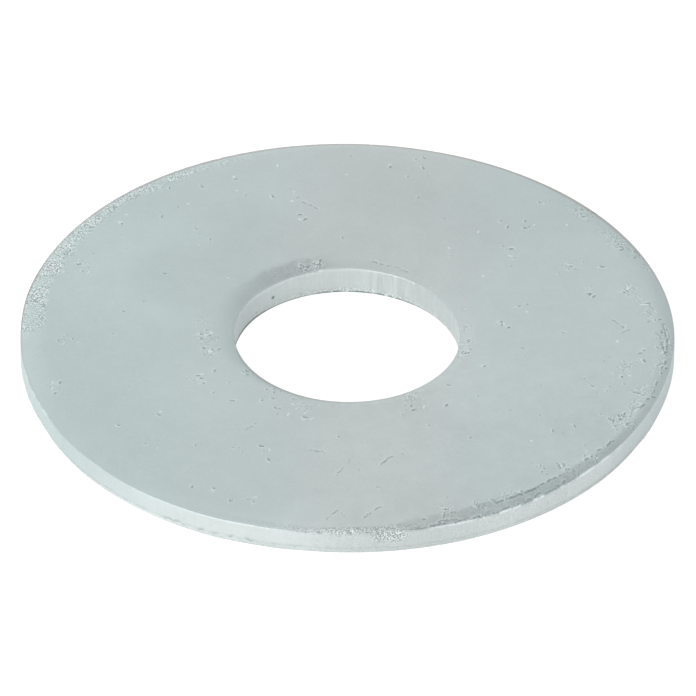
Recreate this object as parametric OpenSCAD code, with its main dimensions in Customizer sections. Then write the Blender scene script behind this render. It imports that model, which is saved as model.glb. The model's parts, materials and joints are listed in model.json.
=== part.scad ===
// Fender washer: a flat ring punched from sheet steel, with one large plain hole.
// Origin at the middle of the underside, +Z up. The section is the one that punching leaves:
// rolled upper edges, straight sheared lands, and a torn band that draws in below each land.

/* [Washer] */
// Outside diameter, across the sheared land
outer_d = 25.4; // [20:0.1:40]
// Hole diameter, across the sheared land
bore_d = 8.73; // [5:0.01:14]
// Thickness of the sheet
sheet_t = 1.35; // [1.2:0.05:3]

/* [Outer edge] */
// How far the rolled shoulder reaches in over the top face
rim_roll_w = 0.8; // [0.6:0.01:1.5]
// How far the rolled shoulder falls below the top face
rim_roll_d = 0.29; // [0.1:0.01:0.4]
// Height of the torn band above the underside
rim_tear_h = 0.38; // [0.12:0.01:0.5]
// How far the torn band draws in at the underside
rim_tear_in = 0.17; // [0.02:0.01:0.3]

/* [Hole edge] */
// How far the rolled shoulder reaches out over the top face
hole_roll_w = 0.9; // [0.5:0.01:1.3]
// How far the rolled shoulder falls below the top face
hole_roll_d = 0.2; // [0.08:0.01:0.3]
// Height of the torn band above the underside
hole_tear_h = 0.32; // [0.12:0.01:0.5]
// How far the torn band opens out at the underside
hole_tear_out = 0.01; // [0.01:0.01:0.3]

/* [Edge breaks] */
// Radius of the crest where each rolled shoulder turns into its land
crest_r = 0.055; // [0.02:0.005:0.08]
// Bevel round the two rims of the underside
foot_break = 0.03; // [0.02:0.01:0.08]

/* [Hidden] */
$fn = 180;
zinc_grey = [0.74, 0.78, 0.78];
outer_r = outer_d / 2;
bore_r = bore_d / 2;
past = 1; // how far cuts run past the metal

// Section of the ring with square upper corners, over the torn bands and the bevels
module blank_section() {
    polygon([
        [bore_r + hole_tear_out + foot_break, 0],
        [outer_r - rim_tear_in - foot_break, 0],
        [outer_r - rim_tear_in, foot_break],
        [outer_r, rim_tear_h],
        [outer_r, sheet_t],
        [bore_r, sheet_t],
        [bore_r, hole_tear_h],
        [bore_r + hole_tear_out, foot_break]
    ]);
}

// What the punch takes off an upper corner at the origin, with the metal to its left and below:
// a shoulder arc that leaves the top face level, then a small crest arc that runs into the land
module rolled_off(w, d) {
    shoulder_r = (w * w + d * d) / (2 * d);
    crest_z = sqrt(pow(shoulder_r - crest_r, 2) - pow(w - crest_r, 2)) - shoulder_r;
    reach = shoulder_r / (shoulder_r - crest_r);
    meet = [(w - crest_r) * reach - w, (crest_z + shoulder_r) * reach - shoulder_r];
    difference() {
        translate([-w, -d]) square([w + past, d + past]);
        translate([-w, -shoulder_r]) circle(shoulder_r);
    }
    difference() {
        polygon([[-crest_r, crest_z], [0, crest_z], [crest_r, crest_r - d], meet]);
        translate([-crest_r, crest_z]) circle(crest_r);
    }
}

module section() {
    difference() {
        blank_section();
        translate([outer_r, sheet_t]) rolled_off(rim_roll_w, rim_roll_d);
        translate([bore_r, sheet_t]) mirror([1, 0]) rolled_off(hole_roll_w, hole_roll_d);
    }
}

module washer() {
    color(zinc_grey) rotate_extrude() section();
}

washer();
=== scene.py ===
import json
import math
import random

import bmesh
import bpy
from mathutils import Matrix, Vector, noise


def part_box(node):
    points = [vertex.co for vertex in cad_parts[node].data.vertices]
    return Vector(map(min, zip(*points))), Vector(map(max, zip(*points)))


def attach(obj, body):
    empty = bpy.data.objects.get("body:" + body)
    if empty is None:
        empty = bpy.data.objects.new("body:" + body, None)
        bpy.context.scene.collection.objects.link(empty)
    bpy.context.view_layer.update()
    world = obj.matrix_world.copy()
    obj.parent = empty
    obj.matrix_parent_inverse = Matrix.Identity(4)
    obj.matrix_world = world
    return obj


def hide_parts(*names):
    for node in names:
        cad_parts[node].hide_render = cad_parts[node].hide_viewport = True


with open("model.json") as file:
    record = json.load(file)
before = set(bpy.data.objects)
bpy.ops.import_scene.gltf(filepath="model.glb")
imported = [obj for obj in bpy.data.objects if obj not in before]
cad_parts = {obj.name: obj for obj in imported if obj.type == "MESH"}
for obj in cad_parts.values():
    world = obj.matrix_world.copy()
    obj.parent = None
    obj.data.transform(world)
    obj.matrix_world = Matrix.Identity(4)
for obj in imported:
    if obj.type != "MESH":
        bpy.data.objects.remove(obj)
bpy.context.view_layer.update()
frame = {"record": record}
mm = 0.001
hair = 0.001 * mm  # what lies nearer than this lies in the same place
print("frame loaded")

# The camera stands in front (-Y) and above, far off behind a long lens
view = {
    "elevation": 36.52,
    "roll": 0.44,  # turns the picture clockwise
    "distance": 762 * mm,
    "lens": 1016.6,
    "aimRight": 0.053 * mm,  # where the picture's middle lies, from the middle of the underside
    "aimUp": 0.4 * mm,
}


def addObject(name, data):
    made = bpy.data.objects.new(name, data)
    bpy.context.scene.collection.objects.link(made)
    return made


def addMesh(name, bm):
    mesh = bpy.data.meshes.new(name)
    bm.to_mesh(mesh)
    bm.free()
    return addObject(name, mesh)


def addCamera():
    cam = addObject("camera", bpy.data.cameras.new("camera"))
    elevation = math.radians(view["elevation"])
    back = Vector((0, -math.cos(elevation), math.sin(elevation)))
    right = Vector((1, 0, 0))
    up = back.cross(right)
    cam.location = back * view["distance"] + right * view["aimRight"] + up * view["aimUp"]
    turn = Matrix.Rotation(math.radians(view["roll"]), 3, back)
    cam.rotation_mode = "QUATERNION"
    cam.rotation_quaternion = Matrix((turn @ right, turn @ up, back)).transposed().to_quaternion()
    cam.data.lens = view["lens"]
    cam.data.sensor_width = 36
    cam.data.clip_end = 10
    bpy.context.scene.camera = cam


addCamera()
print("camera set")


# Shader sums: a wire carries a socket's value and can be added to, multiplied and so on
class Wire:
    def __init__(self, shader, socket):
        self.shader = shader
        self.socket = socket

    def sum(self, operation, first, second):
        return self.shader.node("Math", {"operation": operation}, {0: first, 1: second})

    def __add__(self, other):
        return self.sum("ADD", self, other)

    def __sub__(self, other):
        return self.sum("SUBTRACT", self, other)

    def __mul__(self, other):
        return self.sum("MULTIPLY", self, other)

    def __truediv__(self, other):
        return self.sum("DIVIDE", self, other)

    def __radd__(self, other):
        return self.sum("ADD", other, self)

    def __rsub__(self, other):
        return self.sum("SUBTRACT", other, self)

    def __rmul__(self, other):
        return self.sum("MULTIPLY", other, self)

    def most(self, other):
        return self.sum("MAXIMUM", self, other)


# One node tree, cleared at first. node() makes a node of any type: its settings are set before
# its sockets, which take numbers, colours or wires.
class Shader:
    def __init__(self, owner):
        owner.use_nodes = True
        self.tree = owner.node_tree
        self.tree.nodes.clear()

    def node(self, kind, settings=None, sockets=None, out=0):
        made = self.tree.nodes.new("ShaderNode" + kind)
        for name, value in (settings or {}).items():
            setattr(made, name, value)
        for name, value in (sockets or {}).items():
            if isinstance(value, Wire):
                self.tree.links.new(value.socket, made.inputs[name])
            else:
                made.inputs[name].default_value = value
        return Wire(self, made.outputs[out]) if len(made.outputs) else made

    def split(self, vector):
        firstPart = self.node("SeparateXYZ", None, {0: vector})
        return [Wire(self, out) for out in firstPart.socket.node.outputs]

    def steps(self, value, low, high, start=0, end=1):
        # a smooth step from start to end as value goes from low to high
        sockets = {"Value": value, "From Min": low, "From Max": high, "To Min": start, "To Max": end}
        return self.node("MapRange", {"interpolation_type": "SMOOTHSTEP"}, sockets)

    def mixColour(self, factor, first, second):
        return self.node("Mix", {"data_type": "RGBA"}, {0: factor, 6: first, 7: second}, out=2)

    def scaleVector(self, vector, factor):
        return self.node("VectorMath", {"operation": "SCALE"}, {0: vector, "Scale": factor})


# The washer's section, as in the frame, and how finely it is divided
form = {
    "crestRadius": 0.055 * mm,
    "footBreak": 0.03 * mm,
    "tearLip": 0.03 * mm,  # height of the small step at the top of the torn band
    "wallDepth": 0.25 * mm,  # a wall's points lie nearer to its edge than this
    "crestFoot": 0.04 * mm,  # a land ends this far below the drop of its shoulder
    "sectors": 50,
    "sectorSteps": 8,
    "undersideCuts": 2,
    "wallCuts": 5,  # in each land and each torn band
    "crestSteps": 4,
    "faceCuts": 29,
    "supportLoop": 3,  # how far in from a bevel the underside has a loop, in foot breaks
    "edgeZone": 0.48 * mm,  # the rim and the hole's edge are divided finer over this width
    "frontCuts": 3,  # at the rough front of the rim
    "edgeCuts": 1,
    "frontSpan": (-150, -30),
    "levelFace": 0.8,  # only faces that point up at least this much are divided at marks
}

# What handling, punching and barrel plating left on the edges and faces
wear = {
    "waveDepth": 0.006 * mm,  # of the whole face
    "waveSize": 3.4 * mm,
    "waveStart": 0.06 * mm,  # nearer to an edge than this, the face keeps its form
    "waveFull": 0.9 * mm,
    "faceStart": 0.2 * mm,  # the face's own wear begins this far above the torn band
    "rippleDepth": 0.005 * mm,  # of the shoulders
    "rippleSize": 0.55 * mm,
    "rippleReach": 1.4,  # in widths of the shoulder
    "widestRoll": 1.5 * mm,
    "rollWander": 0.3,  # how much a straight shoulder's width wanders, as a share of it
    "rollDrifts": (13, 41),  # how often it does so on the way round
    "slopes": ((-54, 40), (126, 30)),  # where it does: front right of the rim, back left of the hole
    "roughDepth": 0.024 * mm,  # fine roughness of the crest
    "roughSize": 0.11 * mm,
    "chipDepth": 0.04 * mm,
    "chipSize": 0.2 * mm,
    "chipReach": 0.28 * mm,  # from the crest
    "chipLevels": (0.3, 0.62),  # the noise values at which a chip begins and is full
    "tearDepth": 0.009 * mm,
    "tearSize": 0.16 * mm,
    "tearFoot": 0.05 * mm,  # the tearing fades out below this height
    "tearDrop": 0.07 * mm,  # how far the torn band's upper edge lies below its height in the frame
    "tearWander": 0.05 * mm,
    "tearWave": 0.16 * mm,  # height of the scallops along that edge
    "scallopPlace": (-105, 60),  # where they are tallest
    "scallopLeast": 0.2,  # and what is left of them elsewhere
    "scallopShift": 2.2,  # how far each may lie from its even place, in radians
    "scallopPower": 0.6,  # below 1, they are broad with sharp dips between
    "lipDrift": 31,  # how often the painted shade line along them is broken
    "lipLevels": (-0.05, 0.35),
}

# How the rolled shoulders change on their way round: azimuth in degrees, width and drop in mm, and
# how straight the slope is, from 0, a curve that leaves the face level, to 1, a plain slope
rimRolls = (
    (-180, 0.9, 0.25, 0), (-150, 0.9, 0.18, 0), (-142, 0.8, 0.14, 0), (-130, 0.7, 0.17, 0),
    (-118, 0.55, 0.15, 0), (-105, 0.34, 0.15, 0), (-90, 0.32, 0.17, 0), (-82, 0.36, 0.16, 0.2),
    (-74, 0.6, 0.18, 0.7), (-66, 0.6, 0.2, 0.8), (-57, 0.46, 0.19, 0.8), (-45, 0.42, 0.16, 0.7),
    (-35, 0.34, 0.13, 0.5), (-27, 0.36, 0.12, 0.2), (-15, 0.6, 0.15, 0), (20, 0.95, 0.25, 0),
    (60, 0.8, 0.27, 0), (90, 0.8, 0.28, 0), (130, 0.8, 0.25, 0), (160, 0.9, 0.28, 0),
)
holeRolls = (
    (-180, 0.95, 0.16, 0), (-120, 0.6, 0.2, 0), (-20, 0.55, 0.24, 0), (0, 0.8, 0.22, 0),
    (30, 0.9, 0.16, 0), (60, 0.8, 0.12, 0), (90, 0.6, 0.1, 0), (102, 0.55, 0.12, 0.2),
    (108, 0.6, 0.18, 0.8), (122, 0.62, 0.21, 0.8), (135, 0.7, 0.24, 0.6), (150, 0.78, 0.22, 0.4),
    (168, 0.85, 0.15, 0),
)

# Neither edge is quite round or level: azimuth in degrees, how far it lies outwards and how far the
# face bends down towards it, in mm
rimBends = (
    (-180, -0.06, 0.03), (-160, -0.02, 0.07), (-142, 0.105, 0.1), (-130, 0.105, 0.15),
    (-116, 0.085, 0.19), (-105, 0.015, 0.2), (-95, -0.03, 0.23), (-88, -0.025, 0.18), (-80, -0.015, 0.14),
    (-60, 0.01, 0.1), (-40, 0.025, 0.03), (-15, -0.02, 0), (0, 0, 0), (40, -0.01, 0), (70, -0.02, 0),
    (90, 0, 0), (110, -0.005, 0), (150, 0, 0), (165, -0.01, 0),
)
holeBends = (
    (-180, -0.01, 0), (-130, -0.035, 0), (-90, -0.005, 0), (-45, 0, 0), (-15, 0.022, 0), (10, 0, 0.01),
    (37, -0.025, 0.07), (55, -0.05, 0.12), (72, -0.055, 0.14), (90, -0.065, 0.12), (107, -0.06, 0.07),
    (120, -0.05, 0.03), (150, -0.025, 0),
)

# What the rim and the hole have of their own. Places on the way round have an azimuth and a reach to
# either side, in degrees, and a share.
rimForm = {
    "side": -1,  # the metal lies inside the rim
    "rollWidth": 0.8 * mm,
    "rollDrop": 0.29 * mm,
    "shoulderSteps": 14,
    "tearHeight": 0.38 * mm,
    "tearDraw": 0.17 * mm,  # how far the torn band draws into the metal at the underside
    "rolls": rimRolls,
    "bends": rimBends,
    "bendReach": 6.2 * mm,  # how far in from the edge its bend reaches
    "leastRough": 0.06,
    "roughPlaces": ((-86, 22, 0.94), (-62, 30, 0.705), (100, 70, 0.25)),  # the strongest counts
    "scallops": 146,
    "scallopDrift": 9,  # how often they change on the way round
    "darkLip": (-110, 30, 1.4),  # where a painted shade line runs along the torn band's upper edge, below its small step
}
holeForm = {
    "side": 1,  # the metal lies outside the hole
    "rollWidth": 0.9 * mm,
    "rollDrop": 0.2 * mm,
    "shoulderSteps": 10,
    "tearHeight": 0.32 * mm,
    "tearDraw": 0.01 * mm,
    "rolls": holeRolls,
    "bends": holeBends,
    "bendReach": 3 * mm,
    "leastRough": 0.05,
    "roughPlaces": ((111, 14, 0.9), (60, 30, 0.3)),
    "scallops": 60,
    "scallopDrift": 4,
    "darkLip": (90, 30, 0.25),
}

# Scratches on the top face: start, end, half width and depth, in mm
scratches = (
    (0.95, 4.78, 2.1, 4.36, 0.022, 0.02), (1.28, 4.62, 2.44, 4.08, 0.02, 0.018),
    (-0.36, -9.28, 0.2, -8.28, 0.02, 0.014), (-0.85, -12.05, -0.3, -11.35, 0.022, 0.016),
    (-0.3, -11.35, 0.02, -11.72, 0.02, 0.012), (1.22, -8.72, 1.78, -8.02, 0.024, 0.018),
    (0.72, -11.82, 1.36, -11.12, 0.024, 0.018), (0.3, -8.6, 0.62, -9.02, 0.018, 0.012),
    (2.05, -7.75, 2.25, -7.95, 0.02, 0.012), (-4.46, -4.58, -4.02, -4.75, 0.026, 0.02),
    (-3.92, -6.5, -3.4, -6.02, 0.018, 0.012), (-2.38, -7.72, -1.92, -7.76, 0.02, 0.014),
    (-1.42, -7.7, -0.88, -7.8, 0.024, 0.014), (-1.75, 8.45, -1.18, 7.98, 0.022, 0.014),
    (10.3, 0.86, 10.78, 0.3, 0.024, 0.014), (10.62, -0.05, 11.05, 0.32, 0.022, 0.012),
    (12.2, -0.55, 12.32, -1.35, 0.03, 0.026), (8.9, -9.02, 8.98, -8.45, 0.022, 0.01),
    (12.28, 0.55, 12.36, -0.05, 0.026, 0.026), (12.35, 0.1, 12.45, -0.75, 0.028, 0.03),
    (12.18, 0.2, 12.3, -0.35, 0.024, 0.022), (12.42, 0.35, 12.5, -0.2, 0.026, 0.024),
    (11.5, 4.35, 11.75, 4.5, 0.03, 0.03), (11.2, 5.6, 11.42, 5.2, 0.026, 0.022),
    (11.72, 1.9, 11.9, 1.6, 0.022, 0.016), (11.7, 1.35, 11.88, 1.05, 0.022, 0.016),
    (8.1, -8.35, 8.25, -8.7, 0.024, 0.022), (8.35, -8.35, 8.45, -8.75, 0.022, 0.018),
    (3.4, -12, 4.3, -11.78, 0.024, 0.022),
)

# Patches of small nicks on the top face: middle, spread and number, in mm
nickPatches = (
    (-10.9, -0.7, 0.22, 5), (-11.2, -3.8, 0.2, 5), (-5.4, -0.4, 0.22, 7), (-5.25, -1.4, 0.25, 8),
    (-5.7, -3.2, 0.3, 6), (-10.2, 4.1, 0.3, 6), (-4, -7.6, 0.15, 3), (-7.5, -7.3, 0.14, 3),
    (-3.1, -7.7, 0.14, 3), (-5.8, -9.8, 0.1, 2), (-4.4, -10.7, 0.08, 2), (-3.5, -10.8, 0.18, 3),
    (-2.1, -4.8, 0.35, 6), (-1.4, -5.3, 0.3, 6), (2.7, -4.9, 0.35, 8), (3.7, -4.8, 0.15, 2),
    (-2, 8.8, 0.2, 4), (-4.4, 9.9, 0.08, 2), (-1.8, 7.3, 0.15, 3), (7.7, 8.5, 0.12, 4),
    (7.05, 6.95, 0.12, 3), (6.3, 5.2, 0.22, 4), (8.7, 4.2, 0.2, 4), (9.45, 2.5, 0.1, 3),
    (6.9, 1.4, 0.2, 3), (6.1, 0.5, 0.22, 5), (10.7, 5.6, 0.2, 7), (11.4, 5, 0.2, 4), (9.4, 7.7, 0.22, 6),
    (11.1, 2.7, 0.2, 5), (11.5, 1.9, 0.15, 4), (10.8, -2.5, 0.25, 6), (11.5, -1.8, 0.25, 5),
    (9.9, -3.8, 0.3, 4), (11.6, -4, 0.2, 6), (10.4, -6, 0.3, 7), (9.2, -7.6, 0.2, 4), (7.5, -9, 0.25, 4),
    (5.6, -10.9, 0.14, 6), (5, -11.1, 0.12, 5), (3.9, -11.3, 0.16, 6), (8.5, -8.9, 0.1, 4),
    (9.6, -8, 0.14, 5), (11, -4.9, 0.16, 8), (10.6, -5.5, 0.18, 8), (9.3, 8.1, 0.16, 8),
    (10.6, 5.9, 0.15, 8), (11.9, 0.9, 0.12, 5), (12.2, -1.1, 0.14, 6), (12.25, -2.2, 0.12, 5),
    (-3.9, -2.9, 0.2, 7), (-2.7, -4, 0.25, 8), (4.6, -0.6, 0.1, 4), (4.65, -1.3, 0.12, 5),
    (-1.25, 4.5, 0.16, 9), (-1.7, 4.4, 0.14, 6),
)
looseNicks = {"count": 70, "seed": 11, "inner": 5.2, "outer": 12.2}

# Patches of fine grit on the top face: middle, half width in mm, strength
gritPatches = (
    (9.3, 7.9, 0.55, 0.6), (8.7, 8.4, 0.35, 0.5), (10.6, 6.1, 0.5, 1), (10.1, 6.5, 0.35, 0.6),
    (11.3, 5.45, 0.35, 1), (11.7, 4.45, 0.35, 0.8), (8.6, 4.5, 0.3, 0.6), (9.4, 2.9, 0.2, 0.7),
    (11.05, 2.95, 0.32, 0.8), (11.4, 2.2, 0.3, 0.7), (11.75, 1.25, 0.35, 0.8), (12.2, 0, 0.3, 0.9),
    (12.4, -0.5, 0.35, 1), (12.4, -1.3, 0.3, 0.9), (10.8, -2.25, 0.35, 0.8), (11.9, -2.7, 0.3, 0.6),
    (11.6, -3.7, 0.4, 0.7), (11.3, -4.5, 0.4, 0.7), (10.4, -5.6, 0.45, 0.6), (10.9, -5.9, 0.4, 0.7),
    (3.95, -11.4, 0.4, 0.8), (6.2, -10.4, 0.4, 0.8), (5.2, -11, 0.3, 0.7), (7.4, -8.5, 0.25, 0.6),
    (8.35, -8.6, 0.35, 0.7), (9, -8.2, 0.25, 0.7), (2.5, -4.2, 0.4, 0.8), (-0.3, -4.6, 0.3, 0.7),
    (-1.9, -4.3, 0.4, 0.5), (-2.8, -3.6, 0.35, 0.6), (-3.7, -2.7, 0.3, 0.4), (4.6, -0.7, 0.3, 0.8),
    (4.45, -1.6, 0.25, 0.7), (4.5, 1.6, 0.25, 0.5), (-5.4, -0.6, 0.45, 0.6), (-5.3, -1.5, 0.4, 0.5),
    (-5.6, 0.6, 0.4, 0.4), (-1.2, 4.45, 0.3, 1.2), (-1.65, 4.3, 0.25, 1), (-2, 4.35, 0.3, 0.5),
    (4.6, 0.4, 0.25, 0.7), (-1.55, -5, 0.35, 0.5), (-0.75, -7.75, 0.18, 0.7), (-3.1, -7.7, 0.15, 0.6),
    (2.9, -5, 0.3, 0.5), (-10.3, 4.2, 0.28, 0.5), (-11, -0.65, 0.26, 0.5), (-11.4, -3.6, 0.26, 0.5),
    (-5.85, -3.2, 0.3, 0.5),
)
gritFade = (0.3, 1.5)  # a patch begins to fade and ends at these shares of its half width

# Rows of short dents along the shoulder: radius, azimuths, how much of it is dented, how deep
dentRows = (
    (12.24, -76, -62, 0.2, 0.018), (12.27, -62, -47, 0.75, 0.03), (12.2, -58, -50, 0.45, 0.022),
    (12.3, -46, -36, 0.35, 0.024), (12.38, -36, -22, 0.5, 0.022), (12.62, -78, -48, 0.45, 0.024),
    (12.45, -22, 0, 0.3, 0.02),
)

# How the marks are made, with lengths, half widths and depths in mm
markForm = {
    "strokeLength": 0.14,
    "strokeWander": 0.018,
    "strokeStart": (0, 0.3),  # where a stroke starts and ends, as shares of its length
    "strokeEnd": (0.7, 1.1),
    "widthSpread": (0.8, 1.3),
    "depthSpread": (0.5, 1.5),
    "scratchShare": 0.8,  # how much of a scratch is cut
    "dentStep": 1.4,  # degrees between the bends of a row of dents
    "dentWander": 0.025,
    "dentHalf": 0.03,
    "nickLengths": (0.01, 0.04, 0.09, 0.13),
    "nickHalf": (0.018, 0.034),
    "nickDepths": (-0.018, 0.018, 0.026, 0.034),
    "reach": 0.22,  # marks reach no farther than this,
    "farthest": 5,  # nor than this many half widths
    "cell": 0.5,  # marks are looked up by squares of this side
    "divideReaches": (0.16, 0.1, 0.06),  # faces this near to a mark are divided, each time again
    "shortestEdge": 0.035,
    "lipPlace": 2,  # a groove's raised lip lies this many half widths from its middle
    "lipHeight": 0.3,  # as a share of its depth
    # how bright a groove's raised lip is painted: a painted highlight
    "lipShade": 0.55,
    "fullGroove": 0.02,  # the depths from which a groove's painted shade and a burr's painted highlight show fully
    "fullBurr": 0.012,
}


def brokenStroke(draw, marks, start, end, half, depth, share):
    # a scratch is a row of short strokes that wander a little, with gaps
    length = math.hypot(end[0] - start[0], end[1] - start[1])
    steps = max(1, round(length / markForm["strokeLength"]))
    for k in range(steps):
        isLeftOut = draw.random() > share
        a = (k + draw.uniform(*markForm["strokeStart"])) / steps
        b = (k + draw.uniform(*markForm["strokeEnd"])) / steps
        ends = []
        for t in (a, b):
            x = start[0] + (end[0] - start[0]) * t + draw.gauss(0, markForm["strokeWander"])
            y = start[1] + (end[1] - start[1]) * t + draw.gauss(0, markForm["strokeWander"])
            ends.append((x, y))
        if not isLeftOut:
            ownHalf = half * draw.uniform(*markForm["widthSpread"])
            marks.append((ends[0], ends[1], ownHalf, depth * draw.uniform(*markForm["depthSpread"])))


def dentRow(draw, marks, radius, first, last, share, depth):
    steps = round((last - first) / markForm["dentStep"])
    points = []
    for k in range(steps + 1):
        a = math.radians(first + (last - first) * k / steps)
        r = radius + draw.gauss(0, markForm["dentWander"])
        points.append((r * math.cos(a), r * math.sin(a)))
    for start, end in zip(points, points[1:]):
        brokenStroke(draw, marks, start, end, markForm["dentHalf"], depth, share)


def nickPlaces(draw):
    places = []
    for middleX, middleY, spread, count in nickPatches:
        for k in range(count):
            places.append((draw.gauss(middleX, spread), draw.gauss(middleY, spread)))
    for k in range(looseNicks["count"]):
        r = math.sqrt(draw.uniform(looseNicks["inner"] ** 2, looseNicks["outer"] ** 2))
        a = draw.uniform(0, 2 * math.pi)
        places.append((r * math.cos(a), r * math.sin(a)))
    return places


def gatherMarks():
    # every mark is a stroke: start, end, half width and depth; a raised burr's depth is negative
    draw = random.Random(looseNicks["seed"])
    marks = []
    for x, y, endX, endY, half, depth in scratches:
        brokenStroke(draw, marks, (x, y), (endX, endY), half, depth, markForm["scratchShare"])
    for row in dentRows:
        dentRow(draw, marks, *row)
    for x, y in nickPlaces(draw):
        turn = draw.uniform(0, math.pi)
        length = draw.choice(markForm["nickLengths"])
        end = (x + length * math.cos(turn), y + length * math.sin(turn))
        depth = draw.choice(markForm["nickDepths"])
        marks.append(((x, y), end, draw.uniform(*markForm["nickHalf"]), depth))
    return marksByCell(marks)


def marksByCell(marks):
    reach = markForm["reach"]
    cells = {}
    for mark in marks:
        (ax, ay), (bx, by) = mark[:2]
        for i in range(cellOf(min(ax, bx) - reach), cellOf(max(ax, bx) + reach) + 1):
            for j in range(cellOf(min(ay, by) - reach), cellOf(max(ay, by) + reach) + 1):
                cells.setdefault((i, j), []).append(mark)
    return cells


def cellOf(value):
    return math.floor(value / markForm["cell"])


def strokeDistance(x, y, a, b):
    # how far the point lies from the stroke between a and b
    dx, dy = b[0] - a[0], b[1] - a[1]
    along = ((x - a[0]) * dx + (y - a[1]) * dy) / (dx * dx + dy * dy)
    along = min(1, max(0, along))
    return math.hypot(x - a[0] - dx * along, y - a[1] - dy * along)


def lineTo(bm, start, x, z, cuts):
    begin = start.co.copy()
    end = Vector((x, 0, z))
    v = start
    for k in range(cuts + 1):
        v = bmesh.ops.extrude_vert_indiv(bm, verts=[v])["verts"][0]
        v.co = begin.lerp(end, (k + 1) / (cuts + 1))
    return v


def arcTo(bm, start, centre, angle, steps):
    cent = (centre[0], 0, centre[1])
    made = bmesh.ops.spin(bm, geom=[start], cent=cent, axis=(0, 1, 0), angle=angle, steps=steps)
    return [v for v in made["geom_last"] if isinstance(v, bmesh.types.BMVert)][0]


def cornerOf(edge):
    # the shoulder's radius, how far it turns before the small crest takes over, and the crest's drop
    width, drop = edge["rollWidth"], edge["rollDrop"]
    crest = form["crestRadius"]
    shoulder = (width * width + drop * drop) / (2 * drop)
    sweep = math.asin((width - crest) / (shoulder - crest))
    return shoulder, sweep, shoulder - (shoulder - crest) * math.cos(sweep)


def addSection(bm, rim, hole, top):
    # up the rim from the underside's inner edge, in over the face, and down the hole
    crest, foot, wallCuts = form["crestRadius"], form["footBreak"], form["wallCuts"]
    loop = form["supportLoop"] * foot
    rimFoot = rim - rimForm["tearDraw"]
    holeFoot = hole + holeForm["tearDraw"]
    rimTear, holeTear = rimForm["tearHeight"], holeForm["tearHeight"]
    lipShare = form["tearLip"] / (rimTear - foot)
    first = v = bm.verts.new((holeFoot + foot, 0, 0))
    for x, z, cuts in (
            (holeFoot + loop, 0, 0),
            (rimFoot - loop, 0, form["undersideCuts"]),
            (rimFoot - foot, 0, 0),
            (rimFoot, foot, 0),
            (rim - rimForm["tearDraw"] * lipShare, rimTear - form["tearLip"], wallCuts),
            (rim, rimTear, 0)):
        v = lineTo(bm, v, x, z, cuts)
    shoulder, sweep, crestDown = cornerOf(rimForm)
    v = lineTo(bm, v, rim, top - crestDown, wallCuts)
    v = arcTo(bm, v, (rim - crest, top - crestDown), sweep - math.pi / 2, form["crestSteps"])
    v = arcTo(bm, v, (rim - rimForm["rollWidth"], top - shoulder), -sweep, rimForm["shoulderSteps"])
    shoulder, sweep, crestDown = cornerOf(holeForm)
    faceEnd = hole + holeForm["rollWidth"]
    v = lineTo(bm, v, faceEnd, top, form["faceCuts"])
    v = arcTo(bm, v, (faceEnd, top - shoulder), -sweep, holeForm["shoulderSteps"])
    v = arcTo(bm, v, (hole + crest, top - crestDown), sweep - math.pi / 2, form["crestSteps"])
    v = lineTo(bm, v, hole, holeTear, wallCuts)
    v = lineTo(bm, v, hole, holeTear - form["tearLip"], 0)
    v = lineTo(bm, v, holeFoot, foot, wallCuts)
    bm.edges.new((v, first))


def spinRound(bm):
    # one sector is spun, then its copies go round and are welded
    sector = 2 * math.pi / form["sectors"]
    bmesh.ops.spin(bm, geom=bm.verts[:] + bm.edges[:], cent=(0, 0, 0), axis=(0, 0, 1),
                   angle=sector, steps=form["sectorSteps"])
    bmesh.ops.spin(bm, geom=bm.verts[:] + bm.edges[:] + bm.faces[:], cent=(0, 0, 0), axis=(0, 0, 1),
                   angle=2 * math.pi - sector, steps=form["sectors"] - 1, use_duplicate=True)
    bmesh.ops.remove_doubles(bm, verts=bm.verts, dist=hair)


def radiusOf(co):
    return math.hypot(co.x, co.y)


def divideEdges(bm, rim, hole):
    # edges that run round the washer near its rim and its hole are cut again
    frontEdges = []
    otherEdges = []
    first, last = form["frontSpan"]
    rimFoot = rim - rimForm["tearDraw"] - form["footBreak"]
    holeFoot = hole + holeForm["tearDraw"] + form["footBreak"]
    for e in bm.edges:
        a, b = e.verts[0].co, e.verts[1].co
        r = radiusOf(a)
        if abs(a.z - b.z) > hair or abs(r - radiusOf(b)) > hair:
            continue
        isTop = a.z > form["footBreak"] / 2
        azimuth = math.degrees(math.atan2(a.y + b.y, a.x + b.x))
        if r > rim - form["edgeZone"] and (isTop or r > rimFoot - hair):
            if first < azimuth < last:
                frontEdges.append(e)
            else:
                otherEdges.append(e)
        elif r < hole + form["edgeZone"] and (isTop or r < holeFoot + hair):
            otherEdges.append(e)
    bmesh.ops.subdivide_edges(bm, edges=frontEdges, cuts=form["frontCuts"], use_grid_fill=True)
    bmesh.ops.subdivide_edges(bm, edges=otherEdges, cuts=form["edgeCuts"], use_grid_fill=True)


def divideMarks(bm, cells, top):
    # the top face gets small faces where a mark lies
    low = top - rimForm["rollDrop"]
    shortest = markForm["shortestEdge"] * mm
    for reach in markForm["divideReaches"]:
        toCut = set()
        for f in bm.faces:
            c = f.calc_center_median()
            if c.z < low or f.normal.z < form["levelFace"]:
                continue
            x, y = c.x / mm, c.y / mm
            marks = cells.get((cellOf(x), cellOf(y)), ())
            if any(strokeDistance(x, y, *mark[:2]) < reach for mark in marks):
                toCut.update(e for e in f.edges if e.calc_length() > shortest)
        bmesh.ops.subdivide_edges(bm, edges=list(toCut), cuts=1, use_grid_fill=True)
        bm.normal_update()


def smoothStep(low, high, value):
    t = min(1, max(0, (value - low) / (high - low)))
    return t * t * (3 - 2 * t)


def facing(azimuth, middle, reach, share=1):
    # share where azimuth is middle, in degrees, falling to 0 at reach either side
    away = abs((azimuth - middle + 180) % 360 - 180)
    return share * (1 - smoothStep(0, reach, away))


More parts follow.
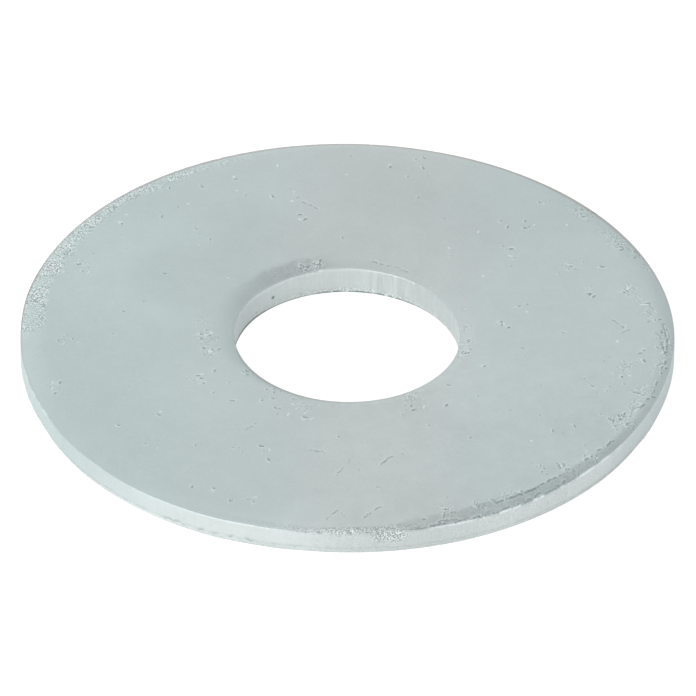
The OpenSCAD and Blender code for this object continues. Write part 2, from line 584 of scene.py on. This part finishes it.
def rowAt(table, azimuth):
    # the values of a table at this azimuth, eased from one row to the next
    rows = table + ((table[0][0] + 360,) + table[0][1:],)
    for before, after in zip(rows, rows[1:]):
        if before[0] <= azimuth <= after[0]:
            t = smoothStep(before[0], after[0], azimuth)
            return [a + (b - a) * t for a, b in zip(before[1:], after[1:])]


def rollDown(roll, fromEdge, wander):
    # how far a shoulder lies below the face at a distance in from its edge
    width, drop, straight = roll
    width *= 1 + wander
    left = max(0, 1 - fromEdge / (width * mm))
    return drop * mm * (straight * left + (1 - straight) * left * left)


def markAt(cells, x, y):
    # how deep the marks are here, how much painted shade falls in a groove and how much painted highlight
    # lies on a raised lip or burr
    depth = groove = lip = 0
    for a, b, half, deep in cells.get((cellOf(x), cellOf(y)), ()):
        away = strokeDistance(x, y, a, b) / half
        if away >= markForm["farthest"]:
            continue
        low = math.exp(-away * away)
        isPushed = (b[0] - a[0]) * (y - a[1]) > (b[1] - a[1]) * (x - a[0])
        high = math.exp(-(away - markForm["lipPlace"]) ** 2) if isPushed else 0
        depth += deep * (low - markForm["lipHeight"] * high)
        if deep > 0:
            groove = max(groove, low * deep / markForm["fullGroove"])
            lip = max(lip, markForm["lipShade"] * high * deep / markForm["fullGroove"])
        else:
            lip = max(lip, -low * deep / markForm["fullBurr"])
    return depth * mm, min(1, groove), min(1, lip)


def gritAt(x, y):
    most = 0
    for middleX, middleY, half, strength in gritPatches:
        away = math.hypot(x - middleX, y - middleY) / half
        if away < gritFade[1]:
            most = max(most, strength * (1 - smoothStep(*gritFade, away)))
    return most


def roughAt(edge, azimuth):
    # how rough an edge's crest is
    return edge["leastRough"] + max(facing(azimuth, *place) for place in edge["roughPlaces"])


def tearLine(edge, out, azimuth):
    # where the torn band ends: shallow scallops of uneven length and height; the vectors added to
    # places, here and below, only shift one noise away from another
    drift = out * edge["scallopDrift"]
    phase = math.radians(azimuth) * edge["scallops"] / 2 + wear["scallopShift"] * noise.noise(drift * 1.7)
    tall = 0.5 + 0.5 * noise.noise(drift * 1.1 + Vector((5, 2, 1)))
    least = wear["scallopLeast"]
    wave = wear["tearWave"] * tall * (least + facing(azimuth, *wear["scallopPlace"], 1 - least))
    scallop = abs(math.sin(phase)) ** wear["scallopPower"] - 0.5
    line = edge["tearHeight"] - wear["tearDrop"] + wear["tearWander"] * noise.noise(drift)
    return line + wave * scallop


def wearFace(co, cells, nearness):
    # how far the top face lies below its true place, and the painted shade and painted highlight that
    # marks put on its finish
    wave = noise.noise(co / wear["waveSize"] + Vector((3.1, 0.4, 7.7)))
    fromEdge = min(away for edge, away in nearness)
    down = wear["waveDepth"] * (1 + wave) * smoothStep(wear["waveStart"], wear["waveFull"], fromEdge)
    depth, groove, lip = markAt(cells, co.x / mm, co.y / mm)
    down += depth
    inRolls = min(away / edge["rollWidth"] for edge, away in nearness) / wear["rippleReach"]
    if inRolls < 1:
        ripple = noise.noise(co / wear["rippleSize"])
        down += wear["rippleDepth"] * (1 + ripple) * math.sin(math.pi * inRolls)
    return down, groove, lip


def wearCrest(co, away, amount):
    # fine roughness and some chips near a crest: how much is gone, and how bare it is
    near = 1 - smoothStep(0.15 * wear["chipReach"], wear["chipReach"], away)
    fine = noise.noise(co / wear["roughSize"]) + 0.5 * noise.noise(co / (0.5 * wear["roughSize"]))
    lump = noise.noise(co / wear["chipSize"] + Vector((9, 4, 2)))
    patch = noise.noise(co / (5 * wear["chipSize"]))
    chip = smoothStep(*wear["chipLevels"], lump + 0.5 * patch)
    gone = amount * near * (wear["roughDepth"] * (0.6 + fine) + wear["chipDepth"] * chip)
    return max(0, gone), min(1, amount * near * (0.5 * abs(fine) + chip))


def wearShoulder(place, co, out, azimuth, edge, fromEdge, top):
    # gives the shoulder its roll at this azimuth and roughens its crest; returns how bare that is
    drop = edge["rollDrop"]
    if fromEdge < wear["widestRoll"] and co.z > top - drop - form["crestFoot"]:
        coarse, fine = [noise.noise(out * drift) for drift in wear["rollDrifts"]]
        wander = wear["rollWander"] * (coarse + 0.6 * fine)
        wander *= max(facing(azimuth, *slope) for slope in wear["slopes"])
        plain = drop * max(0, 1 - fromEdge / edge["rollWidth"]) ** 2
        place.z += plain - rollDown(rowAt(edge["rolls"], azimuth), fromEdge, wander)
    away = math.hypot(fromEdge, co.z - (top - drop))
    if away >= wear["chipReach"]:
        return 0
    gone, bare = wearCrest(co, away, roughAt(edge, azimuth))
    place += (edge["side"] * out - Vector((0, 0, 1))) * (gone * 0.7)
    return bare


def wearWall(place, co, out, azimuth, edge, top):
    # moves the line between land and torn band, and tears the band; returns how torn it is here and how
    # much painted shade lies along the band's upper edge
    foot, height, drop, lip = form["footBreak"], edge["tearHeight"], edge["rollDrop"], form["tearLip"]
    line = tearLine(edge, out, azimuth)
    if co.z < height + hair:
        place.z = foot + (co.z - foot) * (line - foot) / (height - foot)
    else:
        landTop = top - drop - form["crestFoot"]
        newTop = landTop + drop - rollDown(rowAt(edge["rolls"], azimuth), 0, 0)
        place.z = line + (co.z - height) * (newTop - line) / (landTop - height)
    torn = 1 - smoothStep(height - lip, height, co.z)
    rough = noise.fractal(co / wear["tearSize"], 0.9, 2.2, 3)
    depth = wear["tearDepth"] * torn * (0.8 + 0.7 * rough) * smoothStep(0, wear["tearFoot"], co.z)
    place += edge["side"] * out * depth
    onLip = 1 - min(1, abs(co.z - height + 0.5 * lip) / lip)
    patch = smoothStep(*wear["lipLevels"], noise.noise(out * wear["lipDrift"] + Vector((1, 7, 3))))
    return torn, facing(azimuth, *edge["darkLip"]) * onLip * patch


def bendEdge(place, co, out, azimuth, edge, fromEdge, top):
    # an edge that isn't quite round or level takes what lies near it along
    bend = 1 - smoothStep(0, edge["bendReach"], fromEdge)
    outwards, down = rowAt(edge["bends"], azimuth)
    place += out * (bend * outwards * mm)
    place.z -= bend * down * mm * smoothStep(rimForm["tearHeight"], top, co.z)


def edgeShares(co, nearness, top):
    # how far this is the rim's wall, the hole's wall and a crest between wall and shoulder
    walls = []
    crest = 0
    for edge, fromEdge in nearness:
        sweep, crestDown = cornerOf(edge)[1:]
        above = co.z - (top - crestDown)
        tall = form["crestRadius"] * math.cos(sweep)
        isNear = fromEdge < form["wallDepth"] and co.z > form["footBreak"] / 2
        walls.append(1 - smoothStep(0, tall, above) if isNear else 0)
        if fromEdge < form["crestRadius"] + hair:
            crest = max(crest, 1 - min(1, abs(above - 0.5 * tall) / tall))
    return walls[0], walls[1], crest


def wearVertex(v, wearShadeAndGlintLayer, edgeLayer, cells, rim, hole, top):
    # moves a vertex to where wear left it, and notes what the plating shows there, with painted shade in
    # grooves and painted highlights on lips
    co = v.co.copy()
    r = radiusOf(co)
    out = Vector((co.x / r, co.y / r, 0))
    azimuth = math.degrees(math.atan2(co.y, co.x))
    nearness = ((rimForm, rim - r), (holeForm, r - hole))
    place = co.copy()
    torn = groove = lip = bare = grit = 0
    if co.z > rimForm["tearHeight"] + wear["faceStart"]:
        if min(rim - r, r - hole) > wear["waveStart"]:
            down, groove, lip = wearFace(co, cells, nearness)
            place.z -= down
        for edge, fromEdge in nearness:
            bare = max(bare, wearShoulder(place, co, out, azimuth, edge, fromEdge, top))
        if co.z > top - rimForm["rollDrop"]:
            grit = gritAt(co.x / mm, co.y / mm)
    for edge, fromEdge in nearness:
        landTop = top - edge["rollDrop"] - form["crestFoot"]
        if fromEdge <= form["wallDepth"] and form["footBreak"] / 2 <= co.z <= landTop:
            torn, darkLip = wearWall(place, co, out, azimuth, edge, top)
            groove = max(groove, darkLip)
    for edge, fromEdge in nearness:
        bendEdge(place, co, out, azimuth, edge, fromEdge, top)
    place.z = min(top, max(0, place.z))
    v.co = place
    v[wearShadeAndGlintLayer] = (torn, groove, lip, bare)
    v[edgeLayer] = edgeShares(co, nearness, top) + (grit,)


def boreRadius():
    # of the hole's sheared land, in mm
    bore = [mount for mount in frame["record"]["mounts"] if mount["name"] == "bore"][0]
    return bore["dims"]["r_mm"]


def addWasher():
    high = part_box("washer")[1]
    rim = high.x
    top = high.z
    hole = boreRadius() * mm
    bm = bmesh.new()
    addSection(bm, rim, hole, top)
    spinRound(bm)
    divideEdges(bm, rim, hole)
    bmesh.ops.recalc_face_normals(bm, faces=bm.faces)
    bm.normal_update()
    cells = gatherMarks()
    divideMarks(bm, cells, top)
    wearShadeAndGlintLayer = bm.verts.layers.float_color.new("wear")  # torn band, painted shade of grooves, painted highlight of raised lips and burrs, bare crest
    edgeLayer = bm.verts.layers.float_color.new("edges")  # rim wall, hole wall, crest, fine grit
    for v in bm.verts:
        wearVertex(v, wearShadeAndGlintLayer, edgeLayer, cells, rim, hole, top)
    bmesh.ops.triangulate(bm, faces=[f for f in bm.faces if len(f.verts) > 4])
    bmesh.ops.recalc_face_normals(bm, faces=bm.faces)
    for f in bm.faces:
        f.smooth = True
    piece = addMesh("zincWasher", bm)
    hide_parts("washer")
    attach(piece, "root")
    print("washer made:", sum(len(f.vertices) - 2 for f in piece.data.polygons), "triangles")
    return piece


washer = addWasher()

# Dull zinc plating: its colours, where they change, shares of the tone and sizes of the specks in mm
look = {
    "plain": (0.643, 0.731, 0.735, 1),
    "warm": (0.652, 0.72, 0.713, 1),
    "cool": (0.632, 0.731, 0.73, 1),
    "burnished": (0.668, 0.726, 0.718, 1),
    "edge": (0.4, 0.38, 0.35, 1),
    "torn": (0.68, 0.728, 0.718, 1),
    "grime": (0.25, 0.32, 0.315, 1),
    "roughness": 0.45,
    "cloudShare": 0.05,
    "warmFrom": (-1.5, 2.5),  # warm begins and is full at these x, bent by the drift
    "warmTo": (10, 6),
    "coolFrom": (-1, -7.5),
    "patchWander": 2,
    "patchFade": 1.7,  # where a soft patch ends, in squares of its half width
    "streakFlat": 0.06,  # streaks stand upright on both walls
    "streakShare": 0.08,
    "blotShare": 0.3,
    "broadShare": 0.08,
    # how strong the painted light and painted shade on the shoulders are
    "paleShare": 0.03,
    "dullShare": 0.06,
    "softShare": 0.005,
    "dullHoleShare": 0.09,
    "grainShare": 0.17,
    "mottleShare": 0.06,
    "speckCell": 0.62,  # one speck in each cell of this size
    "speckRadius": 0.055,
    "fineSpeckCell": 0.26,
    "fineSpeckRadius": 0.12,
    # painted glints on nicks, and dirt with painted shade in pits
    "brightShare": 0.16,
    "darkShare": 0.34,
    "gritShare": 0.85,
    # the next two shares paint a highlight on raised lips and burrs, and shade in grooves
    "lipShare": 0.32,
    "grooveShare": 0.62,
}

# Its noises: size of the lumps in mm, detail and roughness, and for patches with an outline the
# values of the noise at which they begin and are full
noises = {
    "clouds": (3.2, 3, 0.55),
    "finer": (0.8, 2, 0.5),
    "drift": (4.5, 2, 0.5),  # bends the outlines of the warm, cool and soft patches
    "streaks": (0.16, 3, 0.6),
    "blots": (0.3, 3, 0.6),  # of the dull shoulders
    "broad": (0.55, 1, 0.5),
    "grain": (0.05, 2, 0.6),
    "mottle": (0.16, 2, 0.5),
    "torn": (0.11, 3, 0.65),
    "patchy": (0.7, 2, 0.5, 0.36, 0.56),  # where grit is fuller
    "grit": (0.062, 1, 0.5, 0.43, 0.57),
    "dashes": (0.6, 4, 0.7, 0.44, 0.58),  # along the crests
    "footDots": (0.22, 2, 0.6, 0.42, 0.52),
}

# Shares, and a few lengths in mm, that change on the way round: what holds everywhere, then azimuth,
# reach to either side in degrees and what is added there
zones = {
    "rimBurnished": (0, (-80, 80, 1)),
    # painted light and shade on the walls, lighter or darker on the way round
    "rimTone": (0, (-110, 28, 0.06), (-84, 22, -0.08), (-42, 32, -0.035), (-162, 34, -0.04)),
    "tornTone": (0.02, (-135, 45, 0.04), (-109, 15, -0.05)),
    "holeTone": (0, (38, 40, -0.05), (118, 30, 0.02)),
    "holeStreaks": (0.06, (66, 20, 0.28)),
    # where painted shade and painted light lie on the shoulders
    "dullWider": (0, (-68, 18, 0.2)),
    "dullFront": (0, (-63, 16, 1)),
    "dullRight": (0, (-46, 24, 1)),
    "soft": (0, (-50, 44, 1)),
    "pale": (0, (-108, 24, 1)),
    "dullHole": (0, (117, 22, 1)),
    "broad": (0, (-50, 60, 1)),
    "farLeft": (0, (152, 52, 1)),
    "rightSide": (0, (-8, 50, 1)),
    "frontRim": (0, (-84, 28, 1)),
    "frontGrit": (0.25, (-88, 13, 0.28)),
    "bruise": (0, (-82.3, 4.2, 1)),
    "wallGrit": (0, (-86, 16, 0.1)),
    "rightWallGrit": (0, (-60, 42, 0.12)),
    "tornGrit": (0, (84, 44, 0.25)),
    # painted shade and painted highlights along the crests
    "crestDark": (0, (-66, 26, 0.75)),
    "crestBright": (0, (115, 62, 0.22)),
    "crestGaps": (0, (-56, 28, 0.55)),
    "crestDashes": (0, (-162, 10, 0.45)),
    "frontDull": (0, (-94, 14, 0.1)),
    # how high painted contact shade reaches up the walls' feet, and where it lies
    "footHeight": (0.08, (165, 36, 0.12)),
    "footGrime": (0, (148, 50, 1)),
    "footDots": (0, (82, 42, 1)),
    "farReach": (0.08, (88, 86, 0.4)),
    "farLine": (0.3, (70, 110, 0.35)),
    "farSide": (0, (90, 115, 1.2)),
    "nearReach": (0.08, (-95, 80, 0.26)),
    "nearLine": (0, (-105, 92, 0.36)),
    "leftLine": (0, (172, 40, 0.2), (171, 17, 0.45)),
    "frontLine": (0, (-98, 34, 0.14)),
}

# Bands beside the rim and the hole: how far from the edge each begins and is full, in mm
bands = {
    # where painted shade and painted light lie on the shoulders
    "dullRim": (0.51, 0.35),
    "dullHole": (0.85, 0.55),
    "soft": (1.1, 0.4),
    "pale": (0.9, 0.2),
    "farLeft": (1, 0.6),
    "frontRim": (0.3, 0.2),
    "rightSide": (3.2, 1.2),
    "leftLine": (0.15, 0.06),
    "frontLine": (0.2, 0.1),
}

# Soft paler and darker patches of the plating: middle and half width in mm, share of the tone
softPatches = (
    (5.5, 8, 3, -0.035), (9.4, 7.8, 1.6, -0.03), (1.6, 9.2, 2, -0.035), (-8, 3.8, 4, 0.045),
    (-5.6, 3.4, 2.5, -0.065), (-3.8, 6.8, 1.8, -0.04), (0.7, -8, 3, 0.03), (-1.6, -11.8, 1.2, 0.05),
    (5.5, -3.3, 2.6, 0.025), (-6.1, -4.1, 2, 0.025), (9.6, -6, 1.5, -0.035), (7.6, -9.4, 1, -0.03),
)

# Small pits in the walls, painted only as shade: place and radius in mm
wallPits = ((-2.9, 3.25, 0.52, 0.075), (-3.55, 2.55, 0.3, 0.04))


# The plating's shader, with wires that tell where on the washer a point lies. One function for each layer
# follows: tone is a factor on the colour, which paints light and shade in places, and dirt a share of one
# dark colour, which paints shade in most places and dirt in pits.
class Plating(Shader):
    def __init__(self, owner):
        super().__init__(owner)
        self.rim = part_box("washer")[1].x / mm
        self.hole = boreRadius()
        self.place = self.scaleVector(self.node("TexCoord", out="Object"), 1 / mm)
        self.x, self.y, self.z = self.split(self.place)
        squares = self.x * self.x + self.y * self.y
        self.radius = self.node("Math", {"operation": "SQRT"}, {0: squares})
        # the groove channel holds painted shade in grooves, the lip channel a painted highlight on raised
        # lips and burrs
        self.torn, self.groove, self.lip = self.split(self.attribute("wear", "Color"))
        self.bare = self.attribute("wear", "Alpha")
        self.onRim, self.inHole, self.crest = self.split(self.attribute("edges", "Color"))
        self.patchGrit = self.attribute("edges", "Alpha")
        self.wall = self.onRim.most(self.inHole)
        self.face = (1 - self.wall) * self.steps(self.z, 0.5, 0.8)
        self.clouds = self.noise("clouds")
        self.finer = self.noise("finer")
        self.grain = self.noise("grain")
        flat = {0: self.place, 1: (1, 1, look["streakFlat"])}
        streakPlace = self.node("VectorMath", {"operation": "MULTIPLY"}, flat)
        self.streaks = self.noise("streaks", streakPlace)

    def attribute(self, name, out):
        return self.node("Attribute", {"attribute_name": name}, out=out)

    def lumps(self, name, place=None, out=0):
        size, detail, rough = noises[name][:3]
        place = place or self.place
        sockets = {"Vector": place, "Scale": 1 / size, "Detail": detail, "Roughness": rough}
        return self.node("TexNoise", None, sockets, out=out)

    def noise(self, name, place=None):
        # around 0, or the share of the patches where the noise has an outline
        outline = noises[name][3:]
        value = self.lumps(name, place)
        return self.steps(value, *outline) if outline else value - 0.5

    def zone(self, name):
        total, *parts = zones[name]
        for azimuth, reach, share in parts:
            a = math.radians(azimuth)
            along = (self.x * math.cos(a) + self.y * math.sin(a)) / self.radius
            total = total + self.steps(along, math.cos(math.radians(reach)), 1, 0, share)
        return total

    def nearRim(self, start, full, wander=0):
        # grows from 0 to 1 between two distances in from the rim, in mm
        return self.steps(self.radius + wander, self.rim - start, self.rim - full)

    def nearHole(self, start, full, wander=0):
        return self.steps(self.radius + wander, self.hole + start, self.hole + full)

    def rimZone(self, name, wander=0):
        return self.zone(name) * self.nearRim(*bands[name], wander)

    def specks(self, cell, radius):
        # one cell in three holds a dark pit, with dirt and painted shade, one in three a bright nick, a
        # painted glint
        sockets = {"Vector": self.place, "Scale": 1 / cell}
        away = self.node("TexVoronoi", None, sockets, out="Distance")
        which, size = self.split(self.node("TexVoronoi", None, sockets, out="Color"))[:2]
        spot = self.steps(away / (radius * (0.5 + size)), 1, 0.35)
        return spot * self.steps(which, 0.36, 0.34), spot * self.steps(which, 0.64, 0.66)


def cloudLayer(sh):
    # cloudy and soft patches over the whole piece: colour and tone
    x, y = sh.x, sh.y
    driftX, driftY = sh.split(sh.lumps("drift", out=1))[:2]
    warm = sh.steps(x + driftX * 6, *look["warmFrom"]) * sh.steps(x + driftY * 6, *look["warmTo"])
    cool = sh.steps(x + driftY * 5, *look["coolFrom"])
    colour = sh.mixColour(warm, look["plain"], look["warm"])
    colour = sh.mixColour(cool, colour, look["cool"])
    tone = 1 + (sh.clouds * 2 + sh.finer) * look["cloudShare"]
    for middleX, middleY, half, share in softPatches:
        awayX = x + (driftX - 0.5) * look["patchWander"] - middleX
        awayY = y + (driftY - 0.5) * look["patchWander"] - middleY
        away = awayX * awayX + awayY * awayY
        tone = tone + sh.steps(away, look["patchFade"] * half * half, 0, 0, share)
    return colour, tone


def wallLayer(sh, colour):
    # the two walls: a burnished land above a torn band, with painted light and shade that change on the
    # way round
    land = sh.onRim * sh.zone("rimBurnished") + sh.inHole * 0.6
    colour = sh.mixColour(land, colour, look["burnished"])
    colour = sh.mixColour(sh.torn, colour, look["torn"])
    tone = sh.wall * sh.streaks * look["streakShare"]
    tone = tone + sh.inHole * (sh.streaks * sh.zone("holeStreaks") + sh.zone("holeTone"))
    tone = tone + sh.onRim * sh.zone("rimTone") + sh.torn * sh.zone("tornTone")
    return colour, tone


def shoulderLayer(sh):
    # the shoulders: painted shade, mottled, on bands at the front right of the rim and at the back left
    # of the hole, a little painted shade leading into the rim's band, and painted light on the rim's
    # front left
    wander = sh.finer * 0.4
    wider = sh.zone("dullWider")
    start, full = [distance + wider for distance in bands["dullRim"]]
    dullShare = sh.zone("dullFront").most(sh.zone("dullRight"))
    sh.dullRim = dullShare * sh.nearRim(start, full, wander) * sh.face
    sh.dullHole = sh.zone("dullHole") * sh.nearHole(*bands["dullHole"], wander) * sh.face
    soft = sh.rimZone("soft", wander) * sh.face
    pale = sh.rimZone("pale") * sh.face
    blots = sh.noise("blots")
    broad = sh.noise("broad") * sh.zone("broad")
    tone = pale * look["paleShare"] - soft * look["softShare"] + broad * sh.face * look["broadShare"]
    tone = tone - sh.dullRim * look["dullShare"] - sh.dullHole * look["dullHoleShare"]
    return tone + (sh.dullRim + sh.dullHole * 0.5) * blots * look["blotShare"]


def gritLayer(sh):
    # fine grit at the far left, along the front of the rim, on the walls and in patches
    patchy = sh.noise("patchy")
    farLeft = sh.rimZone("farLeft", sh.clouds * 1.6) * sh.face
    farLeft = farLeft * (0.35 + patchy * 0.65)
    frontRim = sh.rimZone("frontRim", sh.clouds * 0.3) * sh.face
    bruise = sh.onRim * sh.zone("bruise") * (sh.steps(sh.z, 0.5, 0.85) + 0.15)
    gritty = sh.patchGrit * 0.48
    for share in (farLeft * sh.steps(sh.y, -0.5, 0.4),
                  frontRim * sh.zone("frontGrit"),
                  bruise * 0.80,
                  sh.torn * (0.15 + sh.inHole * sh.zone("tornGrit")),
                  sh.onRim * sh.zone("wallGrit"),
                  sh.onRim * sh.zone("rightWallGrit") * patchy,
                  (sh.dullRim + sh.dullHole) * 0.10):
        gritty = gritty.most(share)
    rightSide = sh.rimZone("rightSide", sh.clouds * 5) * patchy
    sh.busy = gritty.most(rightSide).most(sh.dullRim * 0.8)
    sh.grit = (sh.noise("grit") - 0.5) * gritty
    mottle = sh.noise("mottle")
    tone = sh.grain * look["grainShare"] + mottle * look["mottleShare"] - bruise * 0.03
    return tone + sh.grit * look["gritShare"] + farLeft * 0.05 - frontRim * 0.02


def speckLayer(sh):
    # pits and nicks: painted glints, dirt and painted shade, and height; the fine ones show best where
    # there is grit
    dark, bright = sh.specks(look["speckCell"], look["speckRadius"])
    fineDark, fineBright = sh.specks(look["fineSpeckCell"], look["fineSpeckRadius"])
    fineShare = 0.40 + 0.60 * sh.busy
    sh.pits = dark + fineDark * fineShare
    height = bright * 0.004 - (dark + fineDark * sh.busy) * 0.010
    return (bright + fineBright * fineShare) * look["brightShare"], sh.pits * look["darkShare"], height


def crestLayer(sh):
    # the crests: a painted highlight along them, broken by painted shade in places at the front; painted
    # highlights on raised lips and grit where bare: tone, and painted shade of crests and grooves
    dashes = sh.noise("dashes")
    bright = sh.zone("crestBright") + sh.zone("crestGaps") * (1 - dashes)
    bright = bright + sh.zone("crestDashes") * dashes
    tone = sh.crest * bright + sh.lip * look["lipShare"] + sh.bare * (sh.grain * 2.2 - 0.03)
    tone = tone - (sh.bare + sh.crest) * sh.zone("frontDull")
    return tone, sh.crest * dashes * sh.zone("crestDark") + sh.groove * look["grooveShare"]


def footLayer(sh):
    # painted contact shade at the foot of both walls, darker dots low on the hole's wall and painted
    # shade in the small pits of the walls: a share of the dark colour
    reach = sh.zone("footHeight")
    dots = sh.noise("footDots")
    dirt = sh.steps(sh.z, 0.06, 0.0) * sh.wall * 0.4
    dirt = dirt + sh.steps(sh.z, reach, reach * 0.4) * sh.inHole * sh.zone("footGrime")
    dirt = dirt + sh.steps(sh.z, 0.12, 0.05) * sh.inHole * dots * sh.zone("footDots")
    for *middle, half in wallPits:
        ends = {0: sh.place, 1: middle}
        away = sh.node("VectorMath", {"operation": "DISTANCE"}, ends, out=1)
        dirt = dirt + sh.steps(away, half * 1.5, half * 0.5) * 1.3
    return dirt


def edgeLine(sh):
    # the thin darker line along the far outline and round the near edge of the hole
    farReach, nearReach = sh.zone("farReach"), sh.zone("nearReach")
    line = sh.nearRim(farReach, farReach * 0.4) * sh.zone("farLine") * sh.zone("farSide")
    line = line + sh.rimZone("leftLine")
    line = line + sh.nearHole(nearReach, nearReach * 0.4) * sh.zone("nearLine")
    line = line + sh.nearHole(*bands["frontLine"]) * sh.zone("frontLine")
    return line * sh.face


def zincMaterial():
    mat = bpy.data.materials.new("zincPlate")
    sh = Plating(mat)
    colour, tone = cloudLayer(sh)
    colour, wallTone = wallLayer(sh, colour)
    tone = tone + wallTone + shoulderLayer(sh) + gritLayer(sh)
    speckGlint, pitDirtAndShade, speckHeight = speckLayer(sh)
    crestTone, crestAndGrooveShade = crestLayer(sh)
    colour = sh.scaleVector(colour, tone + speckGlint + crestTone)
    # one dark colour paints shade in grooves, along crests and at the walls' feet, and dirt with shade in
    # the pits
    colour = sh.mixColour(pitDirtAndShade + crestAndGrooveShade + footLayer(sh), colour, look["grime"])
    colour = sh.mixColour(edgeLine(sh), colour, look["edge"])
    rough = look["roughness"] + sh.clouds * 0.12 + sh.torn * 0.06 + sh.pits * 0.15
    height = sh.grain * 0.0016 + speckHeight + sh.grit * 0.006 + sh.wall * sh.streaks * 0.006
    height = height + sh.torn * sh.noise("torn") * 0.02
    bump = sh.node("Bump", None, {"Height": height, "Distance": mm})
    sockets = {"Base Color": colour, "Metallic": 1, "Roughness": rough, "Normal": bump}
    metal = sh.node("BsdfPrincipled", None, sockets)
    sh.node("OutputMaterial", None, {"Surface": metal})
    return mat


washer.data.materials.append(zincMaterial())
print("zinc plating made")

# A white floor that keeps a faint shadow, inside a pale tent that is darker on the right
studio = {
    "floorSize": 8,
    "floorShade": 0.9,
    "floorShadow": 0.25,  # share of the floor's own shading that the camera sees
    "floorShine": 0.3,  # share of plain white that reflections of the floor show
    "floorGlow": 1.218,
    "tentLevel": 0.854,
    "rightDrop": 0.215,
    "overheadDrop": 0.108,
}

# The lamps: bearing and height in degrees, distance, size and energy
lamps = {
    "shadowLamp": {"azimuth": -135, "elevation": 12, "distance": 0.4, "size": 0.08, "energy": 1.71},
    "softLamp": {"azimuth": -130, "elevation": 20, "distance": 0.7, "size": 0.6, "energy": 1.58},
}


def addFloor():
    bm = bmesh.new()
    bmesh.ops.create_grid(bm, x_segments=1, y_segments=1, size=studio["floorSize"] / 2)
    floor = addMesh("floor", bm)
    mat = bpy.data.materials.new("floorPaper")
    sh = Shader(mat)
    direct = sh.node("LightPath", out="Is Camera Ray")
    glossy = sh.node("LightPath", out="Is Glossy Ray")
    level = studio["floorShade"]
    shaded = sh.node("BsdfDiffuse", None, {"Color": (level, level, level, 1)})
    white = sh.node("Emission", None, {"Strength": studio["floorGlow"]})
    seen = (direct * (1 - studio["floorShadow"])).most(glossy * studio["floorShine"])
    surface = sh.node("MixShader", None, {0: seen, 1: shaded, 2: white})
    sh.node("OutputMaterial", None, {"Surface": surface})
    floor.data.materials.append(mat)


def addTent():
    world = bpy.data.worlds.new("tent")
    bpy.context.scene.world = world
    sh = Shader(world)
    right, up = sh.split(sh.node("TexCoord", out="Generated"))[::2]
    level = studio["tentLevel"] - sh.steps(right, 0, 0.35, 0, studio["rightDrop"])
    level = level - sh.steps(up, 0.6, 0.95, 0, studio["overheadDrop"])
    lit = sh.node("Background", None, {"Color": (1, 1, 1, 1), "Strength": level})
    white = sh.node("Background", None, {"Color": (1, 1, 1, 1), "Strength": 1})
    direct = sh.node("LightPath", out="Is Camera Ray")
    surface = sh.node("MixShader", None, {0: direct, 1: lit, 2: white})
    sh.node("OutputWorld", None, {"Surface": surface})


def addLamp(name, isShiny):
    spec = lamps[name]
    data = bpy.data.lights.new(name, "AREA")
    data.energy = spec["energy"]
    data.size = spec["size"]
    lamp = addObject(name, data)
    azimuth, elevation = math.radians(spec["azimuth"]), math.radians(spec["elevation"])
    level, up = math.cos(elevation), math.sin(elevation)
    lamp.location = spec["distance"] * Vector((level * math.cos(azimuth), level * math.sin(azimuth), up))
    lamp.rotation_mode = "QUATERNION"
    lamp.rotation_quaternion = lamp.location.to_track_quat("Z", "Y")
    lamp.visible_camera = False
    lamp.visible_glossy = isShiny


addFloor()
addTent()
addLamp("shadowLamp", False)
addLamp("softLamp", True)
bpy.context.scene.view_settings.view_transform = "Standard"
print("studio set")
